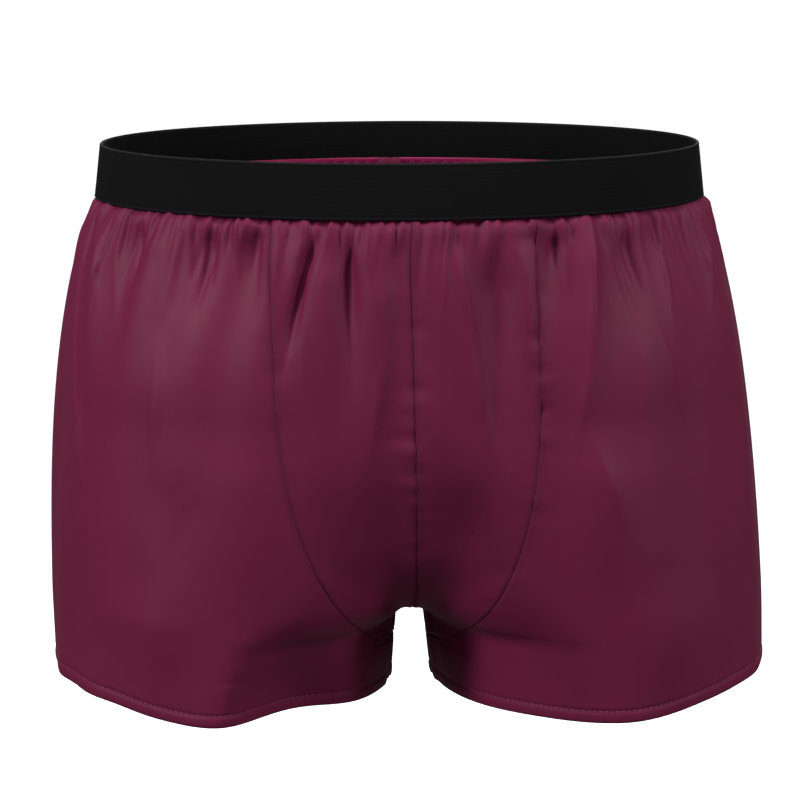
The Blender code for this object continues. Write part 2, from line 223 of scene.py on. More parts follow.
def lengths(x, y):
    return np.concatenate([[0.0], np.cumsum(np.hypot(np.diff(x), np.diff(y)))])


# %% [markdown]
# Two joined circles bulge where they part, but satin hangs straight from the hip to the hem. So round the
# outside of each thigh the curve is replaced by a straight run between the hip's shape and the hem's, and it
# eases back to the joined circles towards the crotch.


# %% Hanging straight
def level_curve(z):
    """Distances along one side's level curve, its x and y, and its outward normals."""
    from_side, x, y = unit_curve(z)
    run = (HANG_TOP - z) / (HANG_TOP - HEM_Z)
    share = smooth((HANG_START - z) / HANG_EASE)
    share = share * smooth((INNER_REACH - np.abs(from_side)) / (INNER_REACH - OUTER_REACH))
    hip, hip_x, hip_y = unit_curve(HANG_TOP)
    hem, hem_x, hem_y = unit_curve(HEM_Z)
    hung_x = np.interp(from_side, hip, hip_x) * (1.0 - run) + np.interp(from_side, hem, hem_x) * run
    hung_y = np.interp(from_side, hip, hip_y) * (1.0 - run) + np.interp(from_side, hem, hem_y) * run
    x, y = stretched(x + share * (hung_x - x), y + share * (hung_y - y), z)
    distance = lengths(x, y)
    return distance, x, y, np.gradient(y, distance), -np.gradient(x, distance)


# %% [markdown]
# ## The largest folds
#
# Cloth gathered onto elastic hangs in folds that start at the band and die away down the leg. Each one is a
# row in a table: where it starts and ends, as an angle round the body and a depth under the band, how wide
# it is, and how far it stands out. A trough has a negative height. Hidden sides get folds of the same kind,
# because the shorts are looked at from behind too.

# %% Fold tables
# Angle and depth at the top, angle and depth at the foot, half-width, height.
BIG_FOLDS = [
    (21.0, 0.006, 19.0, 0.170, 0.0125, -0.0062),
    (10.0, 0.010, 9.0, 0.110, 0.0085, 0.0020),
    (27.0, 0.012, 27.0, 0.090, 0.0060, 0.0022),
    (37.5, 0.008, 35.5, 0.060, 0.0060, -0.0022),
    (44.5, 0.004, 38.0, 0.100, 0.0080, 0.0038),
    (38.0, 0.090, 43.0, 0.205, 0.0160, 0.0025),
    (52.5, 0.006, 50.0, 0.075, 0.0090, -0.0032),
    (61.5, 0.003, 56.0, 0.110, 0.0090, 0.0030),
    (75.0, 0.004, 66.0, 0.130, 0.0100, 0.0026),
    (-7.0, 0.020, -7.5, 0.120, 0.0070, 0.0020),
    (-15.0, 0.010, -14.0, 0.110, 0.0070, -0.0026),
    (-20.0, 0.014, -20.0, 0.100, 0.0080, 0.0022),
    (-24.0, 0.004, -31.0, 0.085, 0.0060, -0.0030),
    (-27.5, 0.006, -30.0, 0.060, 0.0050, 0.0020),
    (-38.5, 0.004, -38.0, 0.070, 0.0080, -0.0020),
    (-48.5, 0.004, -47.5, 0.070, 0.0090, -0.0030),
    (-54.5, 0.050, -53.0, 0.140, 0.0130, 0.0022),
    (-49.0, 0.115, -48.0, 0.190, 0.0140, -0.0022),
    (12.0, 0.120, 13.0, 0.215, 0.0100, -0.0036),
    (-65.5, 0.003, -62.0, 0.090, 0.0090, -0.0032),
    (-76.0, 0.004, -68.0, 0.110, 0.0080, 0.0026),
    (-84.0, 0.004, -73.0, 0.170, 0.0100, 0.0014),
    (98.0, 0.004, 100.0, 0.120, 0.0110, 0.0028),
    (118.0, 0.004, 116.0, 0.130, 0.0100, -0.0030),
    (136.0, 0.004, 138.0, 0.110, 0.0100, 0.0030),
    (156.0, 0.004, 152.0, 0.130, 0.0110, -0.0032),
    (-104.0, 0.004, -102.0, 0.120, 0.0110, -0.0028),
    (-124.0, 0.004, -126.0, 0.130, 0.0110, 0.0032),
    (-143.0, 0.004, -141.0, 0.120, 0.0100, -0.0030),
    (-162.0, 0.004, -164.0, 0.110, 0.0110, 0.0028),
]

# Narrow creases and bright thin ridges that ride on the big folds.
SHARP_FOLDS = [
    (-23.7, 0.003, -31.0, 0.088, 0.0022, -0.0012),
    (-27.0, 0.006, -30.0, 0.056, 0.0022, 0.0007),
    (-15.0, 0.010, -14.2, 0.062, 0.0024, -0.0008),
    (10.9, 0.006, 16.8, 0.088, 0.0022, 0.0010),
    (44.8, 0.003, 37.6, 0.088, 0.0020, 0.0010),
    (38.5, 0.012, 37.4, 0.040, 0.0018, 0.0008),
    (36.6, 0.006, 36.0, 0.032, 0.0022, -0.0010),
    (52.7, 0.006, 52.0, 0.050, 0.0024, -0.0009),
    (62.4, 0.002, 56.0, 0.070, 0.0018, 0.0007),
    (75.7, 0.003, 67.5, 0.066, 0.0018, 0.0007),
    (-48.6, 0.003, -48.0, 0.052, 0.0022, -0.0009),
    (-65.6, 0.003, -62.5, 0.044, 0.0022, -0.0009),
    (-77.0, 0.003, -68.5, 0.060, 0.0018, 0.0007),
    (-71.8, 0.085, -73.6, 0.165, 0.0022, 0.0007),
    (-54.0, 0.075, -53.0, 0.140, 0.0026, 0.0005),
    (-38.2, 0.003, -38.0, 0.034, 0.0030, -0.0010),
    (-81.6, 0.029, -67.8, 0.166, 0.0030, 0.0005),
    (-54.8, 0.048, -50.5, 0.146, 0.0034, 0.0006),
    (-25.0, 0.009, -25.9, 0.105, 0.0055, 0.0007),
    (-15.5, 0.016, -14.5, 0.104, 0.0028, -0.0006),
    (-6.4, 0.056, -12.2, 0.132, 0.0034, 0.0006),
    (11.9, 0.042, 20.1, 0.146, 0.0028, 0.0009),
    (39.8, 0.061, 33.2, 0.127, 0.0032, 0.0006),
    (37.7, 0.104, 43.7, 0.169, 0.0036, 0.0006),
    (53.3, 0.045, 56.7, 0.115, 0.0030, 0.0005),
    (3.9, 0.064, 7.5, 0.145, 0.0080, 0.0008),
    (-52.7, 0.175, -50.6, 0.262, 0.0200, 0.0009),
    (50.0, 0.177, 51.6, 0.261, 0.0200, 0.0009),
    (-48.3, 0.140, -47.7, 0.192, 0.0050, -0.0005),
    (-70.5, 0.012, -63.6, 0.067, 0.0024, 0.0004),
    (-47.3, 0.012, -45.3, 0.045, 0.0024, -0.0005),
    (49.6, 0.015, 49.8, 0.065, 0.0026, -0.0006),
    (108.0, 0.003, 110.0, 0.075, 0.0022, -0.0009),
    (127.0, 0.003, 126.0, 0.090, 0.0022, 0.0009),
    (147.0, 0.003, 146.0, 0.070, 0.0022, -0.0008),
    (168.0, 0.003, 167.0, 0.080, 0.0020, 0.0008),
    (-112.0, 0.003, -114.0, 0.085, 0.0022, 0.0009),
    (-133.0, 0.003, -132.0, 0.075, 0.0022, -0.0009),
    (-152.0, 0.003, -154.0, 0.085, 0.0022, 0.0008),
    (-171.0, 0.003, -170.0, 0.060, 0.0020, -0.0008),
]


# A fold that starts lower than this starts softly; the fades are shares of a fold's length.
HANGING_FROM, QUICK_FADE, SOFT_FADE, FOOT_FADE = 0.03, 0.2, 0.5, 0.75


def fold_height(folds, turn, depth, radius, peak=2.0):
    """How far a table of folds lifts the cloth at one level. A low peak (near 1) makes a sharp crest."""
    height = np.zeros_like(turn)
    for top_turn, top, foot_turn, foot, half, lift in folds:
        top_fade = QUICK_FADE if top < HANGING_FROM else SOFT_FADE
        run = (depth - top) / (foot - top)
        if 0.0 < run < 1.0:
            centre = top_turn + (foot_turn - top_turn) * run
            across = np.radians((turn - centre + 180.0) % 360.0 - 180.0) * radius
            fade = smooth(run / top_fade) * smooth((1.0 - run) / FOOT_FADE)
            height = height + lift * fade * np.exp(-(np.abs(across / half) ** peak))
    return height


# %% [markdown]
# ## Gathers under the elastic
#
# The cloth's edge is longer than even the stretched band, so it is sewn on in a row of tiny tucks. Each is
# a few millimetres wide and runs out into the leg after one to six centimetres, and its neighbour is never
# quite the same. A seeded random table gives them, so that every run of the script makes the same shorts.

# %% Gather tables
rng = np.random.default_rng(41)
GATHERS = 216
GATHER_END, GATHER_WIDENING, GATHER_CREST = 0.065, 20.0, 1.5
gather_turn = np.linspace(-180.0, 180.0, GATHERS, endpoint=False) + rng.uniform(-0.9, 0.9, GATHERS)
gather_reach = 0.012 + 0.046 * rng.random(GATHERS) ** 1.3
gather_lean = rng.normal(0.0, 45.0, GATHERS)
gather_half = rng.uniform(0.0010, 0.0017, GATHERS)
gather_lift = rng.uniform(0.0009, 0.0018, GATHERS) * rng.choice([1.0, -1.0], GATHERS, p=[0.5, 0.5])


def gather_height(turn, depth, radius):
    """The tucks' lift at points of one level: narrow and sharp at the band, wider and softer below."""
    centre = gather_turn + gather_lean * depth
    half = gather_half * (1.0 + GATHER_WIDENING * depth)
    fade = smooth((depth + 0.002) / 0.003) * smooth((gather_reach - depth) / gather_reach * 1.3)
    near = np.abs(fade) > 0
    if depth > GATHER_END or not near.any():
        return np.zeros_like(turn)
    off = (turn[:, None] - centre[None, near] + 180.0) % 360.0 - 180.0
    across = np.radians(off) * radius[:, None]
    bumps = gather_lift[near] * fade[near] * np.exp(-(np.abs(across / half[near]) ** GATHER_CREST))
    return bumps.sum(axis=1)


# %% [markdown]
# ## Puckers along the seams
#
# Thread holds a seam a little shorter than the satin on each side of it. The cloth then stands up in small
# waves that cross the seam and fade in about a centimetre. They are placed by their height on the seam, by
# seeded chance, and some of the strongest are listed one by one.

# %% Pucker tables
# Height, reach to each side of the seam, half-length along it, lift.
FRONT_PUCKERS = [
    (-0.066, 0.006, 0.0017, -0.0009),
    (-0.096, 0.007, 0.0018, -0.0009),
    (-0.104, 0.007, 0.0026, 0.0004),
    (-0.121, 0.008, 0.0026, -0.0006),
    (-0.128, 0.008, 0.0028, 0.0006),
    (-0.139, 0.006, 0.0022, -0.0004),
    (-0.146, 0.006, 0.0022, 0.0005),
    (-0.156, 0.005, 0.0022, 0.0004),
]
CURVED_PUCKERS = {
    1: [
        (-0.024, 0.008, 0.0040, -0.0014),
        (-0.050, 0.0035, 0.0022, -0.0009),
        (-0.072, 0.0035, 0.0022, -0.0010),
        (-0.089, 0.0045, 0.0024, -0.0010),
        (-0.094, 0.0045, 0.0018, 0.0006),
        (-0.108, 0.0040, 0.0026, -0.0009),
        (-0.122, 0.0045, 0.0030, 0.0006),
        (-0.154, 0.0040, 0.0030, 0.0005),
    ],
    -1: [
        (-0.076, 0.005, 0.0040, -0.0004),
        (-0.088, 0.007, 0.0050, -0.0007),
    ],
}


def small_puckers(seed, top=-0.022, low=-0.235, every=0.0065, lift=0.00028):
    """A seeded run of slight waves down a seam."""
    dice = np.random.default_rng(seed)
    count = int((top - low) / every)
    heights = np.linspace(top, low, count) + dice.uniform(-0.4, 0.4, count) * every
    puckers = []
    for z in heights:
        reach, half = dice.uniform(0.004, 0.009), dice.uniform(0.0014, 0.0028)
        puckers.append((z, reach, half, lift * dice.choice([-1.5, -0.5, 0.5, 1.2])))
    return puckers


CENTRE_FRONT = FRONT_PUCKERS + small_puckers(3, lift=0.00016)
CENTRE_BACK = small_puckers(5, every=0.008)
CURVED = {side: CURVED_PUCKERS[side] + small_puckers(7 + side, lift=0.00010) for side in (1, -1)}


def pucker_height(puckers, z, away, way):
    """The lift that a seam's puckers give at one height. Each is stronger on one side of its seam (way)."""
    height = np.zeros_like(away)
    for at, reach, half, lift in puckers:
        near = math.exp(-(((z - at) / half) ** 2))
        if near > 0.01:
            uneven = 1.0 + 0.6 * way * math.sin(at * 9000.0)
            height = height + lift * uneven * near * np.exp(-((away / (reach * uneven)) ** 2))
    return height


# %% [markdown]
# ## From a level to points on the cloth
#
# The smooth shape is leaned, turned out and dropped at the hem exactly as the solids are. The folds aren't
# added here but later, along each point's own normal, so that a fold under the crotch lifts the cloth down
# and not sideways.


# %% Cloth points
def across_leg(x, z):
    leg_half_width = half_width(z) / (1.0 + spread(z))
    return np.clip((x - half_width(z) + leg_half_width) / leg_half_width, -1.0, 1.0)


def cloth_points(side, z, curve, spots):
    """Smooth cloth at one level, at distances along its curve, with its big folds."""
    distance, x, y, normal_x, normal_y = curve
    clear = 0.0002 + 0.0004 * math.exp(-(((z - CROTCH_Z) / ARCH_HEIGHT) ** 2))
    at_x = np.maximum(np.interp(spots, distance, x), clear)
    at_y = np.interp(spots, distance, y)
    out_x = np.interp(spots, distance, normal_x)
    out_y = np.interp(spots, distance, normal_y)
    turn = np.degrees(np.arctan2(side * at_x, -at_y))
    lift = fold_height(BIG_FOLDS, turn, BAND_LOW - z, np.hypot(at_x, at_y))
    start = CROTCH_Z + DROP_START
    low = smooth((start - z) / (start - HEM_Z))
    out = across_leg(at_x, z)
    drop = HEM_DROP * (1.0 - smooth(np.maximum(out, 0.0))) * low
    turned = TURN_OUT[side] * smooth((CROTCH_Z - z) / (CROTCH_Z - HEM_Z))
    point = np.where(out < 0.0, INNER_POINT[side], OUTER_POINT[side]) * low * np.sin(math.pi * out) ** 2
    at_y = np.where(at_y < 0.0, at_y * (1.0 - point), at_y)
    final_z = z - drop
    lean = LEAN * np.maximum(BAND_LOW - final_z, 0.0) - LEAN_START * smooth((BAND_LOW - z) / LEAN_ROLL)
    final_x = side * (at_x + lift * out_x - turned * np.minimum(at_y, 0.0)) + lean
    return np.stack([final_x, at_y + lift * out_y, final_z], axis=1)


def seam_across(side, z):
    """How far from the middle plane the curved front seam lies at one height."""
    run = np.clip((SEAM_BEND_Z - z) / (SEAM_BEND_Z - INSEAM_TIP_Z), 0.0, 1.0)
    bend = (1.0 - run**SEAM_POWER) ** SEAM_ROUNDING
    return ARCH_HALF_WIDTH + (SEAM_HALF_WIDTH[side] - ARCH_HALF_WIDTH) * bend


def seam_spot(side, z, curve):
    """Distance along a level curve to the curved seam."""
    front = slice(0, int(np.argmax(curve[1])) + 1)
    return max(float(np.interp(seam_across(side, z), curve[1][front], curve[0][front])), TIP_WIDTH)


# %% [markdown]
# ## Rows and columns
#
# Rows are heights and columns are distances round the body. Both are closer together where the cloth bends
# hard: at the roll under the elastic, at the crotch, and beside each seam. A leg piece's columns are set out
# from the side, so that they run straight down the thigh like the warp threads do.

# %% Grid spacing
BAND_ROWS = np.array([TUCK, TUCK * 0.6, TUCK * 0.25]) + BAND_LOW
ROLL_ROWS = BAND_LOW - np.array([0.0, 0.0008, 0.0016, 0.0026, 0.004])
UPPER_ROWS, LOWER_ROWS, HEM_ROWS = 86, 14, 12
HEM_BAND = 0.0095
EDGE_STEPS = np.array([0.0, 0.0004, 0.0009, 0.0016, 0.0026])
LEG_COLUMNS, FRONT_COLUMNS = 340, 80
SEAM_HALF_GAP = 0.00006

upper_steps = np.arange(UPPER_ROWS - 1, -1, -1) / UPPER_ROWS
upper_rows = CROTCH_Z + (ROLL_ROWS[-1] - CROTCH_Z) * upper_steps**1.5
lower_steps = np.arange(1, LOWER_ROWS + 1) / LOWER_ROWS
lower_rows = CROTCH_Z - (CROTCH_Z - HEM_Z - HEM_BAND) * lower_steps**1.4
hem_rows = HEM_Z + HEM_BAND * np.arange(HEM_ROWS - 1, -1, -1) / HEM_ROWS
leg_rows = np.concatenate([BAND_ROWS, ROLL_ROWS, upper_rows, lower_rows, hem_rows])
front_rows = np.append(leg_rows[leg_rows > INSEAM_TIP_Z + 0.0002], INSEAM_TIP_Z)
curves = {float(z): level_curve(float(z)) for z in np.concatenate([leg_rows, front_rows])}
print("rows", len(leg_rows), len(front_rows))


def quarter_oval(a, b):
    h = ((a - b) / (a + b)) ** 2
    return math.pi / 4 * (a + b) * (1.0 + 3.0 * h / (10.0 + math.sqrt(4.0 - 3.0 * h)))


def front_spots(side, z):
    last = seam_spot(side, z, curves[z]) - SEAM_HALF_GAP
    first = SEAM_HALF_GAP
    edge = EDGE_STEPS * min((last - first) / 0.012, 1.0)
    inner = np.linspace(first + edge[-1], last - edge[-1], FRONT_COLUMNS)[1:-1]
    return np.concatenate([first + edge, inner, (last - edge)[::-1]])


def leg_spots(side, z):
    distance, x = curves[z][:2]
    middle = distance[int(np.argmax(x))]
    first = SEAM_HALF_GAP
    if z >= INSEAM_TIP_Z:
        first = seam_spot(side, z, curves[z]) + SEAM_HALF_GAP
    last = distance[-1] - SEAM_HALF_GAP
    plain_front = quarter_oval(half_width(z), front_depth(z)) - seam_across(side, z)
    plain_back = quarter_oval(half_width(z), back_depth(z))
    part = np.linspace(0.0, 1.0, LEG_COLUMNS // 2)
    before = part * plain_front + (middle - first - plain_front) * part**3
    after = part * plain_back + (last - middle - plain_back) * part**3
    spots = np.concatenate([middle - before[::-1], middle + after[1:]])
    margin = EDGE_STEPS[-1] + 0.0009
    inner = first + margin + (spots - first) / (last - first) * (last - first - 2 * margin)
    return np.concatenate([first + EDGE_STEPS, inner, (last - EDGE_STEPS)[::-1]])


# %% [markdown]
# ## Fine relief
#
# The fine relief is one height per grid point: sharp creases, gathers, puckers, a soft roll of each cut edge
# into its seam, and a slow unevenness, because hanging satin is never quite smooth. It is added along the
# smooth cloth's normals, which come from the grid itself: the cross product of the direction to the next
# column and the direction to the next row.

# %% Relief
EDGE_ROLL, EDGE_ROLL_WIDTH = 0.00042, 0.0008
CRISPNESS = 2.8
waves = np.random.default_rng(12)
WAVE_COUNT = 26
wave_turn = waves.uniform(7.0, 30.0, WAVE_COUNT).round()
wave_down = waves.uniform(-22.0, 22.0, WAVE_COUNT)
wave_phase = waves.uniform(0.0, 2 * math.pi, WAVE_COUNT)
wave_lift = waves.uniform(0.00014, 0.00042, WAVE_COUNT)


def slow_waves(turn, depth):
    phase = np.radians(turn)[:, None] * wave_turn + depth * wave_down + wave_phase
    return (wave_lift * np.sin(phase)).sum(axis=1) * smooth(depth / 0.02) * (1.0 - 0.6 * smooth(depth / 0.24))


def relief(side, z, spots, from_front, from_seam, from_back):
    """Fine lift at one level. The last three are distances from the centre front, curved and back seams."""
    distance, x, y = curves[z][:3]
    at_x, at_y = side * np.interp(spots, distance, x), np.interp(spots, distance, y)
    turn = np.degrees(np.arctan2(at_x, -at_y))
    depth = BAND_LOW - z
    radius = np.hypot(at_x, at_y)
    height = CRISPNESS * fold_height(SHARP_FOLDS, turn, depth, radius, peak=1.3)
    height = height + gather_height(turn, depth, radius) + slow_waves(turn, depth)
    if z > INSEAM_TIP_Z:
        height = height + pucker_height(CENTRE_FRONT, z, from_front, side)
        which = np.sign(spots - seam_spot(side, z, curves[z]))
        height = height + pucker_height(CURVED[side], z, from_seam, which)
    height = height + pucker_height(CENTRE_BACK, z, from_back, side)
    for away in (from_front, from_seam, from_back):
        height = height - EDGE_ROLL * np.exp(-((away / EDGE_ROLL_WIDTH) ** 2))
    return height


def normals_of(points):
    along = np.gradient(points, axis=1)
    down = np.gradient(points, axis=0)
    normal = np.cross(along, down)
    length = np.linalg.norm(normal, axis=2, keepdims=True)
    return normal / np.maximum(length, 1e-12)


# %% [markdown]
# ## Turned edges
#
# A maker presses each seam open and turns the hem up, so the sides of a piece and the hem of a leg are folded
# back along their own inside. We copy that: from such an edge the sheet goes round a small bend and runs back
# a few millimetres, just inside itself. The hem gets a real double edge, and no edge in sight looks cut off.
# The top edge stays flat, hidden behind the elastic.

# %% Turned edges
BEND = 0.0009
SEAM_ALLOWANCE, HEM_TURN = 0.006, 0.0066


def turned_back(points, normals, width, steps):
    """Rows that fold back from the first row of a grid, inside it. They come out free edge first."""
    steps_down = np.cumsum(np.linalg.norm(np.diff(points, axis=0), axis=2), axis=0)
    run = np.concatenate([np.zeros((1, points.shape[1])), steps_down])
    turn = [(width * (1 - k / steps), BEND) for k in range(steps)]
    turn += [(0.0006, BEND * 0.9), (0.0, BEND * 0.45)]
    layers = []
    for reach, inset in turn:
        row = np.empty_like(points[0])
        for column in range(points.shape[1]):
            at = min(reach, run[-1, column] * 0.9)
            k = int(np.searchsorted(run[:, column], at, side="right")) - 1
            k = min(k, len(run) - 2)
            share = (at - run[k, column]) / max(run[k + 1, column] - run[k, column], 1e-9)
            spot = points[k, column] * (1 - share) + points[k + 1, column] * share
            normal = normals[k, column] * (1 - share) + normals[k + 1, column] * share
            row[column] = spot - normal / max(np.linalg.norm(normal), 1e-9) * inset
        layers.append(row)
    return np.array(layers)


# %% [markdown]
# ## Sewing a piece
#
# One function builds a piece from its grid. It is an open sheet with a UV map in metres of flat cloth, which
# the weave uses, and an attribute that says how near a seam each point lies. Solidify then gives the sheet
# its thickness; its second face and its rim use the duller reverse of the satin.

# %% Sheet builder
CLOTH_THICKNESS = 0.00035


def sheet_object(name, points, flat, seam_mask):
    """A mesh object from a grid of points, with its flat coordinates and its nearness to seams."""
    rows, columns = points.shape[:2]
    index = np.arange(rows * columns).reshape(rows, columns)
    quads = np.stack([index[:-1, :-1], index[1:, :-1], index[1:, 1:], index[:-1, 1:]], axis=2).reshape(-1, 4)
    mesh = bpy.data.meshes.new(name)
    mesh.from_pydata(points.reshape(-1, 3).tolist(), [], quads.tolist())
    uv = mesh.uv_layers.new(name="flat_cloth")
    corners = quads.ravel()
    uv.data.foreach_set("uv", flat.reshape(-1, 2)[corners].astype(np.float32).ravel())
    # Nearness to seams and the hem's stitch line: the satin paints shade into its colour there and makes it a
    # little rougher.
    mask = mesh.attributes.new("near_seam", "FLOAT", "POINT")
    mask.data.foreach_set("value", seam_mask.ravel().astype(np.float32))
    mesh.shade_smooth()
    ob = bpy.data.objects.new(name, mesh)
    bpy.context.scene.collection.objects.link(ob)
    return ob


def add_thickness(ob, thickness):
    """Solidifies a sheet evenly to both sides."""
    wall = ob.modifiers.new("thickness", "SOLIDIFY")
    wall.thickness = thickness
    wall.offset = 0.0
    wall.use_even_offset = False
    wall.material_offset = 1
    wall.material_offset_rim = 1


# %% [markdown]
# ## The four satin pieces
#
# Each row of a piece is a level, and each level gives its points, its relief and the distances that the
# relief needs. Once the relief is on, the side edges are pressed back and, on a leg piece, the hem is turned
# up. The hem's stitching pulls a faint groove 6 mm above the edge, with the double cloth a little fuller
# below it.

# %% Piece grids
STITCH_UP = 0.006


def hem_relief(points):
    """The groove under the hem's stitches and the fullness below it, by distance up from the edge."""
    lengths = np.linalg.norm(np.diff(points[::-1], axis=0), axis=2)
    up = np.concatenate([np.zeros((1, points.shape[1])), np.cumsum(lengths, axis=0)])[::-1]
    groove = 0.00040 * np.exp(-(((up - STITCH_UP) / 0.0008) ** 2))
    full = 0.00030 * smooth(up / 0.0015) * smooth((STITCH_UP - up) / 0.002)
    return full - groove, up


def satin_grid(side, rows, spots_of, hemmed):
    """Points, outward normals, flat coordinates and nearness to seams of one piece."""
    points, heights, flat, near = [], [], [], []
    for z in rows.tolist():
        spots = spots_of(side, z)
        reach = curves[z][0][-1]
        to_curve = np.abs(spots - seam_spot(side, z, curves[z])) if z >= INSEAM_TIP_Z else spots
        points.append(cloth_points(side, z, curves[z], spots))
        heights.append(relief(side, z, spots, spots, to_curve, reach - spots))
        flat.append(np.stack([spots, np.full_like(spots, z)], axis=1))
        # Near a seam the satin's colour gets painted shade, which stands in for the shade in the seam's
        # groove.
        nearest = np.minimum(np.minimum(spots, to_curve), reach - spots)
        near.append(np.exp(-((nearest / 0.0022) ** 2)))
    points, heights, flat, near = (np.array(v) for v in (points, heights, flat, near))
    normals = -side * normals_of(points)
    if hemmed:
        bumps, up = hem_relief(points)
        heights = heights + bumps
        # The hem's stitch groove joins the same mask, so the satin paints shade along it as well.
        near = np.maximum(near, 0.6 * np.exp(-(((up - STITCH_UP) / 0.0009) ** 2)))
    return points + normals * heights[:, :, None], normals, flat, near


def press_edges(points, normals, flat, near):
    """The same grid with both side edges pressed back along its inside."""
    turned = [points, normals, flat, near]
    for _ in range(2):
        points, normals, flat, near = turned
        across = np.swapaxes(points, 0, 1)
        fold = turned_back(across, np.swapaxes(normals, 0, 1), SEAM_ALLOWANCE, 3)
        count = len(fold)
        back = np.linspace(SEAM_ALLOWANCE, 0.0003, count)[None, :, None] * np.array([1.0, 0.0])
        points = np.concatenate([np.swapaxes(fold, 0, 1), points], axis=1)
        normals = np.concatenate([np.repeat(normals[:, :1], count, axis=1), normals], axis=1)
        flat = np.concatenate([flat[:, :1] - back, flat], axis=1)
        near = np.concatenate([np.repeat(near[:, :1], count, axis=1), near], axis=1)
        turned = [v[:, ::-1] for v in (points, normals, flat, near)]
    return turned


def turn_hem(points, normals, flat, near):
    fold = turned_back(points[::-1], normals[::-1], HEM_TURN, 4)[::-1]
    count = len(fold)
    down = np.linspace(0.0003, HEM_TURN, count)[:, None, None] * np.array([0.0, -1.0])
    points = np.concatenate([points, fold])
    flat = np.concatenate([flat, flat[-1:] + down])
    near = np.concatenate([near, np.repeat(near[-1:], count, axis=0)])
    return points, flat, near


def facing_out(side, *grids):
    """Grids whose columns run the way that makes their faces point outward."""
    return [grid if side < 0 else grid[:, ::-1] for grid in grids]


satin_pieces = {}
surface = {}
for side, word in ((1, "left"), (-1, "right")):
    name = f"satin_leg_{word}"
    surface[name] = satin_grid(side, leg_rows, leg_spots, True)
    points, flat, near = turn_hem(*press_edges(*surface[name]))
    satin_pieces[name] = sheet_object(name, *facing_out(side, points, flat, near))
    name = f"satin_front_{word}"
    surface[name] = satin_grid(side, front_rows, front_spots, False)
    points, _, flat, near = press_edges(*surface[name])
    satin_pieces[name] = sheet_object(name, *facing_out(side, points, flat, near))
for name, ob in satin_pieces.items():
    add_thickness(ob, CLOTH_THICKNESS)
    print(name, len(ob.data.polygons), "faces", round(sum(p.area for p in ob.data.polygons), 4), "m2")

# %% [markdown]
# ## Stitches
#
# A stitch is a short length of thread that dives into the cloth at both ends. Hundreds of them are too many
# objects, so a row of stitches is one joined mesh: a small spindle is worked out once, and arrays copy it to
# every place at once. Thread lies a little proud in the middle and sinks at its ends.

# %% Stitch maker
AROUND = 6
SPINDLE = np.array([(-1.0, 0.0), (-0.72, 0.75), (0.0, 1.0), (0.72, 0.75), (1.0, 0.0)])


def thread_stitches(name, starts, ends, normals, radius):
    """One mesh of spindles of thread, from each start to each end."""
    starts, ends, normals = (np.asarray(v, float) for v in (starts, ends, normals))
    middle, half = (starts + ends) / 2, (ends - starts) / 2
    direction = half / np.linalg.norm(half, axis=1, keepdims=True)
    side_way = np.cross(direction, normals)
    side_way = side_way / np.linalg.norm(side_way, axis=1, keepdims=True)
    up = np.cross(side_way, direction)
    verts = []
    for along, thick in SPINDLE:
        sink = radius * (0.75 - 1.3 * along * along)
        for k in range(AROUND):
            angle = 2 * math.pi * k / AROUND
            ring = side_way * math.cos(angle) + up * math.sin(angle)
            verts.append(middle + half * along + up * sink + ring * radius * max(thick, 0.12))
    verts = np.swapaxes(np.array(verts), 0, 1)
    count, per = len(starts), verts.shape[1]
    faces = []
    for ring in range(len(SPINDLE) - 1):
        for k in range(AROUND):
            after = (k + 1) % AROUND
            here, there = ring * AROUND, (ring + 1) * AROUND
            faces.append([here + k, here + after, there + after, there + k])
    faces = (np.array(faces)[None] + per * np.arange(count)[:, None, None]).reshape(-1, 4).tolist()
    caps = [list(range(AROUND - 1, -1, -1)), list(range(per - AROUND, per))]
    faces += [[n * per + v for v in cap] for n in range(count) for cap in caps]
    mesh = bpy.data.meshes.new(name)
    mesh.from_pydata(verts.reshape(-1, 3).tolist(), [], faces)
    mesh.shade_smooth()
    ob = bpy.data.objects.new(name, mesh)
    bpy.context.scene.collection.objects.link(ob)
    print(name, count, "stitches")
    return ob


def spaced(line, normals, pitch, length):
    """Starts, ends and normals of stitches set evenly along a line of points."""
    run = np.concatenate([[0.0], np.cumsum(np.linalg.norm(np.diff(line, axis=0), axis=1))])
    first = np.arange(pitch * 0.3, run[-1] - length, pitch)

    def pick(at, values):
        return np.stack([np.interp(at, run, values[:, k]) for k in range(3)], axis=1)

    return pick(first, line), pick(first + length, line), pick(first + length / 2, normals)


# %% [markdown]
# The hem stitches follow the groove. Their line is found by walking up each column of the leg piece by 6 mm.
# The front halves are joined by a fine close stitch that shows as a dotted line in the seam.

# %% Hem and front stitches
HEM_PITCH, HEM_STITCH, HEM_THREAD = 0.0029, 0.0020, 0.00016
FRONT_PITCH, FRONT_STITCH, FRONT_THREAD = 0.0017, 0.0009, 0.00015


def line_above_hem(points, normals, up):
    """The line this far up from the hem's edge, and the outward normals along it."""
    lengths = np.linalg.norm(np.diff(points[::-1], axis=0), axis=2)
    run = np.concatenate([np.zeros((1, points.shape[1])), np.cumsum(lengths, axis=0)])
    line, out = [], []
    for column in range(points.shape[1]):
        for grid, found in ((points, line), (normals, out)):
            found.append([np.interp(up, run[:, column], grid[::-1, column, k]) for k in range(3)])
    return np.array(line), np.array(out)


stitch_rows = {}
for word in ("left", "right"):
    points, normals = surface[f"satin_leg_{word}"][:2]
    line, out = line_above_hem(points, normals, STITCH_UP)
    lifted = line + out * (CLOTH_THICKNESS / 2)
    name = f"hem_stitches_{word}"
    stitch_rows[name] = thread_stitches(name, *spaced(lifted, out, HEM_PITCH, HEM_STITCH), HEM_THREAD)

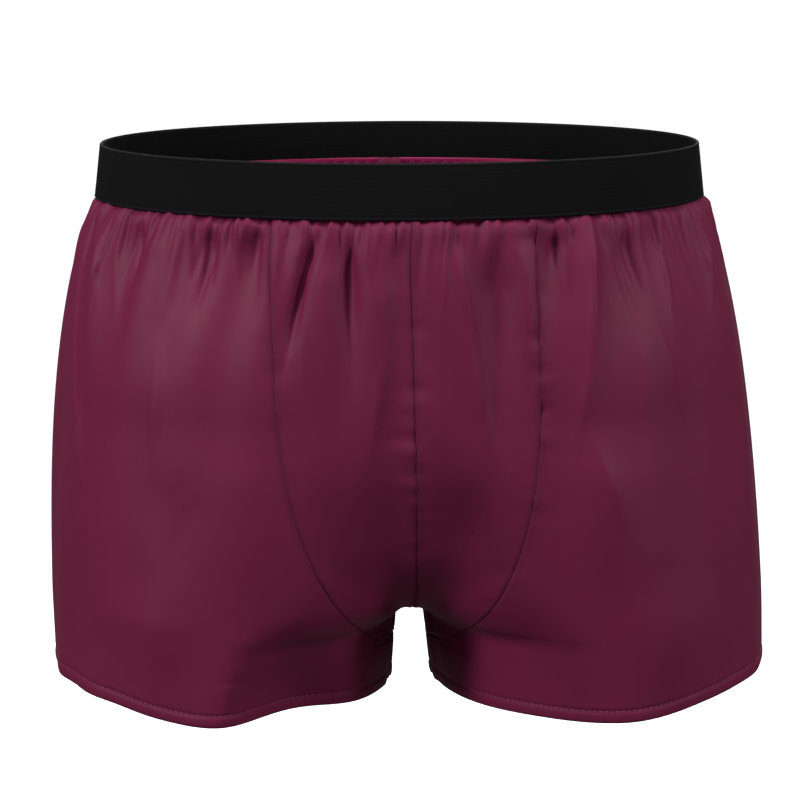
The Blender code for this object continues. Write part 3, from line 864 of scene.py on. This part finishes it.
left, right = surface["satin_front_left"], surface["satin_front_right"]
below_band = slice(len(BAND_ROWS), None)
centre_line = (left[0][below_band, 0] + right[0][below_band, 0]) / 2
centre_out = left[1][below_band, 0] + right[1][below_band, 0]
centre_out = centre_out / np.linalg.norm(centre_out, axis=1, keepdims=True)
front_row = spaced(centre_line + centre_out * 0.0001, centre_out, FRONT_PITCH, FRONT_STITCH)
stitch_rows["front_seam_stitches"] = thread_stitches("front_seam_stitches", *front_row, FRONT_THREAD)

# %% [markdown]
# Inside the band, a zigzag holds the gathered edge to the elastic. It stretches with the elastic, which a
# straight row would not. You see it through the waist opening.

# %% Zigzag behind the band
ZIG_STEP, ZIG_LOW, ZIG_HIGH, ZIG_THREAD = 0.0026, BAND_LOW + 0.0022, BAND_LOW + 0.0062, 0.00018
MEAN_RADIUS = 0.134


def band_point(turn, z, inside):
    """A point on the elastic at an angle from the front, this far inside its outer face."""
    taper = BAND_TAPER * (z - BAND_LOW) / BAND_HEIGHT + inside
    x = (BAND_HALF_WIDTH - taper) * math.sin(turn)
    y = -(BAND_HALF_DEPTH - taper) * math.cos(turn)
    return np.array([x, y, z])


inside_cloth = BAND_WALL + BAND_GAP + CLOTH_WALL / 2 + CLOTH_THICKNESS
zig_count = 2 * int(2 * math.pi * MEAN_RADIUS / ZIG_STEP / 2)
zig_turns = np.linspace(0.0, 2 * math.pi, zig_count + 1)
zig_heights = [ZIG_HIGH if k % 2 else ZIG_LOW for k in range(zig_count + 1)]
zig_points = np.array([band_point(t, z, inside_cloth) for t, z in zip(zig_turns, zig_heights)])
out_x = np.sin(zig_turns[:-1]) / BAND_HALF_WIDTH
out_y = -np.cos(zig_turns[:-1]) / BAND_HALF_DEPTH
inward = -np.stack([out_x, out_y, np.zeros(zig_count)], axis=1)
inward = inward / np.linalg.norm(inward, axis=1, keepdims=True)
zig_starts, zig_ends = zig_points[:-1], zig_points[1:]
stitch_rows["band_zigzag"] = thread_stitches("band_zigzag", zig_starts, zig_ends, inward, ZIG_THREAD)

# %% [markdown]
# ## The elastic
#
# The waistband is one woven strip with a firm selvedge along each edge, lapped and sewn at the centre back.
# Its section is drawn as a closed outline, outer face first, and swept round the oval. A lap is simply a
# place where the outer face steps out by one more layer.

# %% Waistband
BAND_TURNS = 400
SELVEDGE = 0.0011
LAP_HALF, LAP_LIFT = 0.006, 0.0005


def band_outline():
    """(height, distance inside the outer face) round the strip's section."""
    edge = BAND_HEIGHT / 2
    outer = [(-edge, 0.0008), (-edge + 0.0002, 0.0003), (-edge + 0.0006, 0.0), (-edge + SELVEDGE, 0.0)]
    outer += [(-edge + SELVEDGE + 0.0003, 0.00018), (-edge + SELVEDGE + 0.0009, 0.00006)]
    plain = [(z, 0.00004) for z in np.linspace(-edge + 0.0035, edge - 0.0035, 9)]
    mirrored = [(-z, inset) for z, inset in outer[::-1]]
    inner = [(edge - 0.0004, BAND_WALL - 0.0002), (edge - 0.0012, BAND_WALL), (0.0, BAND_WALL)]
    inner += [(-edge + 0.0012, BAND_WALL), (-edge + 0.0004, BAND_WALL - 0.0002)]
    return outer + plain + mirrored + inner


outline = band_outline()
ripple = np.random.default_rng(19).uniform(0.0, 2 * math.pi, 4)
verts = []
for step in range(BAND_TURNS):
    turn = 2 * math.pi * step / BAND_TURNS
    from_back = abs(turn - math.pi) * BAND_HALF_WIDTH
    lap = LAP_LIFT * float(smooth((LAP_HALF - from_back) / 0.0012))
    low_wave = sum(0.00007 * math.sin(k * turn + p) for k, p in zip((61, 83, 107, 131), ripple))
    for z, inset in outline:
        near_edge = max(0.0, -z / (BAND_HEIGHT / 2)) ** 3
        out = lap if inset < BAND_WALL / 2 else 0.0
        verts.append(band_point(turn, z, inset - out - low_wave * near_edge).tolist())
size = len(outline)
band_faces = []
for step in range(BAND_TURNS):
    here, there = step * size, ((step + 1) % BAND_TURNS) * size
    for k in range(size):
        after = (k + 1) % size
        band_faces.append([here + k, there + k, there + after, here + after])
band_mesh = bpy.data.meshes.new("elastic_band")
band_mesh.from_pydata(verts, [], band_faces)
band_mesh.shade_smooth()
band = bpy.data.objects.new("elastic_band", band_mesh)
bpy.context.scene.collection.objects.link(band)
print("elastic", len(band_faces), "faces")

# %% Lap stitches
LAP_STITCHES, LAP_PITCH, LAP_WIDE, LAP_THREAD = 17, 0.00145, 0.0014, 0.00016
lap_starts, lap_ends, lap_out = [], [], []
for side in (-1, 1):
    for k in range(LAP_STITCHES):
        z = BAND_LOW + 0.002 + k * LAP_PITCH
        turns = [math.pi + side * (LAP_HALF - 0.0022 + wide) / BAND_HALF_WIDTH for wide in (0.0, LAP_WIDE)]
        pair = turns if k % 2 else turns[::-1]
        lap_starts.append(band_point(pair[0], z, -LAP_LIFT - 0.0001))
        lap_ends.append(band_point(pair[1], z + LAP_PITCH, -LAP_LIFT - 0.0001))
        lap_out.append((0.0, 1.0, 0.0))
stitch_rows["lap_stitches"] = thread_stitches("lap_stitches", lap_starts, lap_ends, lap_out, LAP_THREAD)

# %% [markdown]
# ## A small kit for finishes
#
# Node trees read best as sums. `Wire` holds one output socket, and adding or multiplying wires adds the Math
# nodes. `Finish` makes a material and has one method, `node`, for every other kind of node: first its
# settings, then its sockets.


# %% Finish kit
class Wire:
    """One output of a node, for use in plain arithmetic."""

    def __init__(self, tree, socket):
        self.tree, self.socket = tree, socket

    def maths(self, operation, first, second):
        node = self.tree.nodes.new("ShaderNodeMath")
        node.operation = operation
        for slot, value in zip(node.inputs, (first, second)):
            if isinstance(value, Wire):
                self.tree.links.new(value.socket, slot)
            else:
                slot.default_value = value
        return Wire(self.tree, node.outputs[0])

    def __add__(self, other):
        return self.maths("ADD", self, other)

    __radd__ = __add__

    def __sub__(self, other):
        return self.maths("SUBTRACT", self, other)

    def __rsub__(self, other):
        return self.maths("SUBTRACT", other, self)

    def __mul__(self, other):
        return self.maths("MULTIPLY", self, other)

    __rmul__ = __mul__

    def __abs__(self):
        return self.maths("ABSOLUTE", self, 0.0)


class Finish:
    """A material for one finish, with its Principled shader."""

    def __init__(self, name, colour):
        self.material = bpy.data.materials.new(name)
        self.material.use_nodes = True
        self.tree = self.material.node_tree
        self.shader = self.tree.nodes["Principled BSDF"]
        self.material.diffuse_color = (*colour, 1.0)

    def node(self, kind, settings, sockets, output=0):
        node = self.tree.nodes.new(kind)
        for key, value in settings.items():
            setattr(node, key, value)
        for key, value in sockets.items():
            self.plug(node.inputs[key], value)
        return Wire(self.tree, node.outputs[output])

    def plug(self, slot, value):
        if isinstance(value, Wire):
            self.tree.links.new(value.socket, slot)
        else:
            slot.default_value = value

    def set(self, **sockets):
        """Plugs the shader's own sockets; an underscore stands for a space."""
        for key, value in sockets.items():
            self.plug(self.shader.inputs[key.replace("_", " ")], value)

    def noise(self, vector, scale, detail=2.0):
        sockets = {"Vector": vector, "Scale": scale, "Detail": detail}
        return self.node("ShaderNodeTexNoise", {}, sockets, "Fac")

    def stretched(self, vector, by):
        return self.node("ShaderNodeVectorMath", {"operation": "MULTIPLY"}, {0: vector, 1: by})

    def blend(self, share, first, second):
        colours = {6: (*first, 1.0), 7: (*second, 1.0)}
        return self.node("ShaderNodeMix", {"data_type": "RGBA"}, {0: share, **colours}, 2)

    def bump(self, height, strength, distance, under=None):
        sockets = {"Height": height, "Strength": strength, "Distance": distance}
        if under:
            sockets["Normal"] = under
        return self.node("ShaderNodeBump", {}, sockets)


# %% [markdown]
# ## Satin
#
# Satin shines because its warp threads float over several wefts before they dip, so its face is almost all
# smooth parallel thread. The gloss is soft and broad, and takes the colour of the dye. We give it a deep dye
# colour, a middling roughness, a third of metal's coloured reflection, and a weave too fine to see except
# close up: long floats down the cloth, each row set off from the last. Slow changes in dye and gloss keep it
# from looking like painted metal.

# %% Satin face
DYE = (0.172, 0.0050, 0.0480)
DYE_DEEP = (0.140, 0.0034, 0.0370)
# Painted shade: a dark tone that the satin's colour is mixed towards near every seam and along the hem's
# stitch groove, standing in for the shade that falls in those grooves.
SEAM_PAINTED_SHADE = (0.075, 0.0014, 0.0185)


def satin_finish(name, gloss, deep, pale):
    finish = Finish(name, pale)
    flat = finish.node("ShaderNodeUVMap", {"uv_map": "flat_cloth"}, {})
    place = finish.node("ShaderNodeTexCoord", {}, {}, "Object")
    seam = finish.node("ShaderNodeAttribute", {"attribute_name": "near_seam"}, {}, "Fac")
    dye = finish.noise(place, 7.0, 3.0)
    slub = finish.noise(finish.stretched(flat, (1500.0, 55.0, 0.0)), 1.0, 1.0)
    floats = finish.noise(finish.stretched(flat, (3600.0, 900.0, 0.0)), 1.0, 0.0)
    crinkle = finish.noise(place, 90.0, 2.0)
    tone = dye * 0.75 + slub * 0.35 - 0.05
    colour = finish.blend(tone, deep, pale)
    # Painted shade: near seams and the hem groove the colour is darkened towards the painted seam shade.
    shaded = finish.node(
        "ShaderNodeMix", {"data_type": "RGBA"}, {0: seam * 0.55, 6: colour, 7: (*SEAM_PAINTED_SHADE, 1.0)}, 2
    )
    soft = finish.bump(crinkle, 0.30, 0.0006)
    finish.set(
        Base_Color=shaded,
        Roughness=gloss + dye * 0.07 + slub * 0.04 + seam * 0.10,
        Normal=finish.bump(floats + slub * 0.5, 0.22, 0.00006, soft),
    )
    return finish


satin_face = satin_finish("satin_face", 0.29, DYE_DEEP, DYE)
satin_face.set(Metallic=0.35, Specular_IOR_Level=0.20)
satin_reverse = satin_finish("satin_reverse", 0.58, (0.110, 0.0036, 0.0300), (0.140, 0.0058, 0.0410))
satin_reverse.set(Specular_IOR_Level=0.25)

# %% [markdown]
# ## Elastic and thread
#
# The elastic is black polyester plush over rubber: matt, with ribs along it from the rubber cores and a fine
# knit across them. Along both selvedges its colour is a little lighter. Thread is a shinier, paler burgundy
# than the satin, twisted, so its colour changes along it.

# %% Elastic
elastic = Finish("woven_elastic", (0.0036, 0.0036, 0.004))
place = elastic.node("ShaderNodeTexCoord", {}, {}, "Object")
height = elastic.node("ShaderNodeSeparateXYZ", {}, {0: place}, 2)
fuzz = elastic.noise(place, 900.0, 2.0)
cloudy = elastic.noise(place, 14.0, 2.0)
ribs = elastic.node(
    "ShaderNodeTexWave",
    {"wave_type": "BANDS", "bands_direction": "Z", "wave_profile": "SIN"},
    {"Vector": place, "Scale": 160.0, "Distortion": 0.0},
    "Fac",
)
knit = elastic.noise(elastic.stretched(place, (1600.0, 1600.0, 500.0)), 1.0, 0.0)
at_edge = elastic.node(
    "ShaderNodeMapRange",
    {"interpolation_type": "SMOOTHSTEP"},
    {"Value": abs(height), "From Min": 0.0124, "From Max": 0.0134, "To Min": 0.0, "To Max": 1.0},
)
elastic_tone = at_edge * 0.55 + fuzz * 0.25 + cloudy * 0.25 - 0.1
elastic.set(
    Base_Color=elastic.blend(elastic_tone, (0.0026, 0.0026, 0.0029), (0.0080, 0.0080, 0.0088)),
    Roughness=0.86 - at_edge * 0.12 + fuzz * 0.08,
    Normal=elastic.bump(ribs * 0.6 + knit * 0.5 + fuzz * 0.3, 0.35, 0.00012),
    Specular_IOR_Level=0.10,
)


# %% Thread
def thread_finish(name, dark, light, roughness):
    finish = Finish(name, light)
    place = finish.node("ShaderNodeTexCoord", {}, {}, "Object")
    twist = finish.noise(finish.stretched(place, (2600.0, 2600.0, 2600.0)), 1.0, 1.0)
    finish.set(
        Base_Color=finish.blend(twist, dark, light),
        Roughness=roughness + twist * 0.1,
        Normal=finish.bump(twist, 0.4, 0.00005),
    )
    return finish


hem_thread = thread_finish("hem_thread", (0.17, 0.030, 0.070), (0.30, 0.075, 0.140), 0.40)
seam_thread = thread_finish("seam_thread", (0.022, 0.0010, 0.0060), (0.050, 0.0030, 0.0150), 0.55)
black_thread = thread_finish("black_thread", (0.008, 0.008, 0.008), (0.020, 0.020, 0.021), 0.6)

for ob in satin_pieces.values():
    ob.data.materials.append(satin_face.material)
    ob.data.materials.append(satin_reverse.material)
band.data.materials.append(elastic.material)
threads = {"hem": hem_thread, "front": seam_thread, "band": hem_thread, "lap": black_thread}
for name, ob in stitch_rows.items():
    ob.data.materials.append(threads[name.split("_")[0]].material)
print("finishes", len(bpy.data.materials))

# %% [markdown]
# ## Standing in for the solids
#
# Each fine piece hides the solid it stands for, which stays behind for collisions, and rides with the one
# body. A table lists how each cloth piece is cut: the flat sizes are the rectangles that each piece is cut
# from, and the areas are what is left after the curves are cut away.

# %% Pieces and their cut
CUTS = {
    "satin_leg_left": ("leg_panel_left", (0.66, 0.36), 0.140),
    "satin_leg_right": ("leg_panel_right", (0.66, 0.36), 0.140),
    "satin_front_left": ("front_panel_left", (0.09, 0.325), 0.0190),
    "satin_front_right": ("front_panel_right", (0.092, 0.33), 0.0200),
}
hem_of = {"satin_leg_left": "hem_stitches_left", "satin_leg_right": "hem_stitches_right"}
for name, (node, flat_size, flat_area) in CUTS.items():
    ob = satin_pieces[name]
    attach(ob, "root")
    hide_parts(node)
    sewn_on = [stitch_rows[hem_of[name]]] if name in hem_of else []
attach(band, "root")
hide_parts("waistband")
for name, ob in stitch_rows.items():
    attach(ob, "root")
    "elastic" if name == "lap_stitches" else "satin"

# %% [markdown]
# ## Floor and light
#
# A broad pale floor well below the hems sweeps up far away on every side, like a studio's paper backdrop, so
# there is no hard horizon however low we look. Two tall soft boxes to the front, one at each side and a
# little above, draw the long bands of light down the folds. Weaker ones above and in front keep the hollows
# readable, and a dim even sky fills what is left.

# %% Floor and light
FLOOR_Z, FLOOR_RADIUS, SWEEP, WALL_TOP = -0.9, 12.0, 3.0, 9.0
FLOOR_SIDES, SWEEP_STEPS = 64, 12
sweep = [math.pi / 2 * k / SWEEP_STEPS for k in range(SWEEP_STEPS + 1)]
profile = [(FLOOR_RADIUS + SWEEP * math.sin(a), FLOOR_Z + SWEEP * (1.0 - math.cos(a))) for a in sweep]
profile.append((FLOOR_RADIUS + SWEEP, WALL_TOP))
floor_points = [(0.0, 0.0, FLOOR_Z)]
for radius, height in profile:
    for k in range(FLOOR_SIDES):
        angle = 2 * math.pi * k / FLOOR_SIDES
        floor_points.append((radius * math.cos(angle), radius * math.sin(angle), height))
floor_faces = [(0, 1 + k, 1 + (k + 1) % FLOOR_SIDES) for k in range(FLOOR_SIDES)]
for ring in range(len(profile) - 1):
    low = 1 + ring * FLOOR_SIDES
    for k in range(FLOOR_SIDES):
        after = (k + 1) % FLOOR_SIDES
        floor_faces.append((low + k, low + FLOOR_SIDES + k, low + FLOOR_SIDES + after, low + after))
floor_mesh = bpy.data.meshes.new("floor")
floor_mesh.from_pydata(floor_points, [], floor_faces)
floor_mesh.shade_smooth()
floor = bpy.data.objects.new("floor", floor_mesh)
bpy.context.scene.collection.objects.link(floor)
floor_finish = Finish("pale_floor", (0.9, 0.9, 0.9))
floor_place = floor_finish.node("ShaderNodeTexCoord", {}, {}, "Object")
floor_tone = floor_finish.noise(floor_place, 0.6, 2.0)
floor_finish.set(
    Base_Color=floor_finish.blend(floor_tone, (0.90, 0.90, 0.90), (0.93, 0.93, 0.93)),
    Roughness=0.95,
    Specular_IOR_Level=0.1,
    Emission_Color=(1.0, 1.0, 1.0, 1.0),
    Emission_Strength=0.92,
)
floor.data.materials.append(floor_finish.material)
floor.visible_diffuse = False
floor.visible_glossy = False

SKY = 0.13
world = bpy.data.worlds.new("studio")
world.use_nodes = True
sky = world.node_tree.nodes["Background"]
sky.inputs["Color"].default_value = (SKY, SKY, SKY, 1.0)
sky.inputs["Strength"].default_value = 1.0
bpy.context.scene.world = world


def soft_box(name, place, aim, size, watts):
    light = bpy.data.lights.new(name, "AREA")
    light.shape = "RECTANGLE"
    light.size, light.size_y = size
    light.energy = watts
    ob = bpy.data.objects.new(name, light)
    ob.location = place
    away = np.array(place) - np.array(aim)
    yaw = math.atan2(away[0], -away[1])
    ob.rotation_euler = (math.atan2(math.hypot(away[0], away[1]), away[2]), 0.0, yaw)
    ob.visible_camera = False
    bpy.context.scene.collection.objects.link(ob)
    return ob


soft_box("box_left", (-1.9, -1.1, 1.3), (0.0, 0.0, -0.1), (0.45, 1.3), 58.0)
soft_box("box_right", (2.0, -1.1, 1.3), (0.0, 0.0, -0.1), (0.45, 1.3), 40.0)
soft_box("box_front", (0.0, -2.7, -0.6), (0.0, 0.0, -0.2), (0.8, 0.6), 4.0)
soft_box("box_top", (0.0, -0.7, 2.2), (0.0, 0.0, 0.0), (1.0, 0.5), 20.0)
soft_box("box_back", (0.3, 2.4, 1.2), (0.0, 0.0, -0.1), (1.8, 1.6), 34.0)
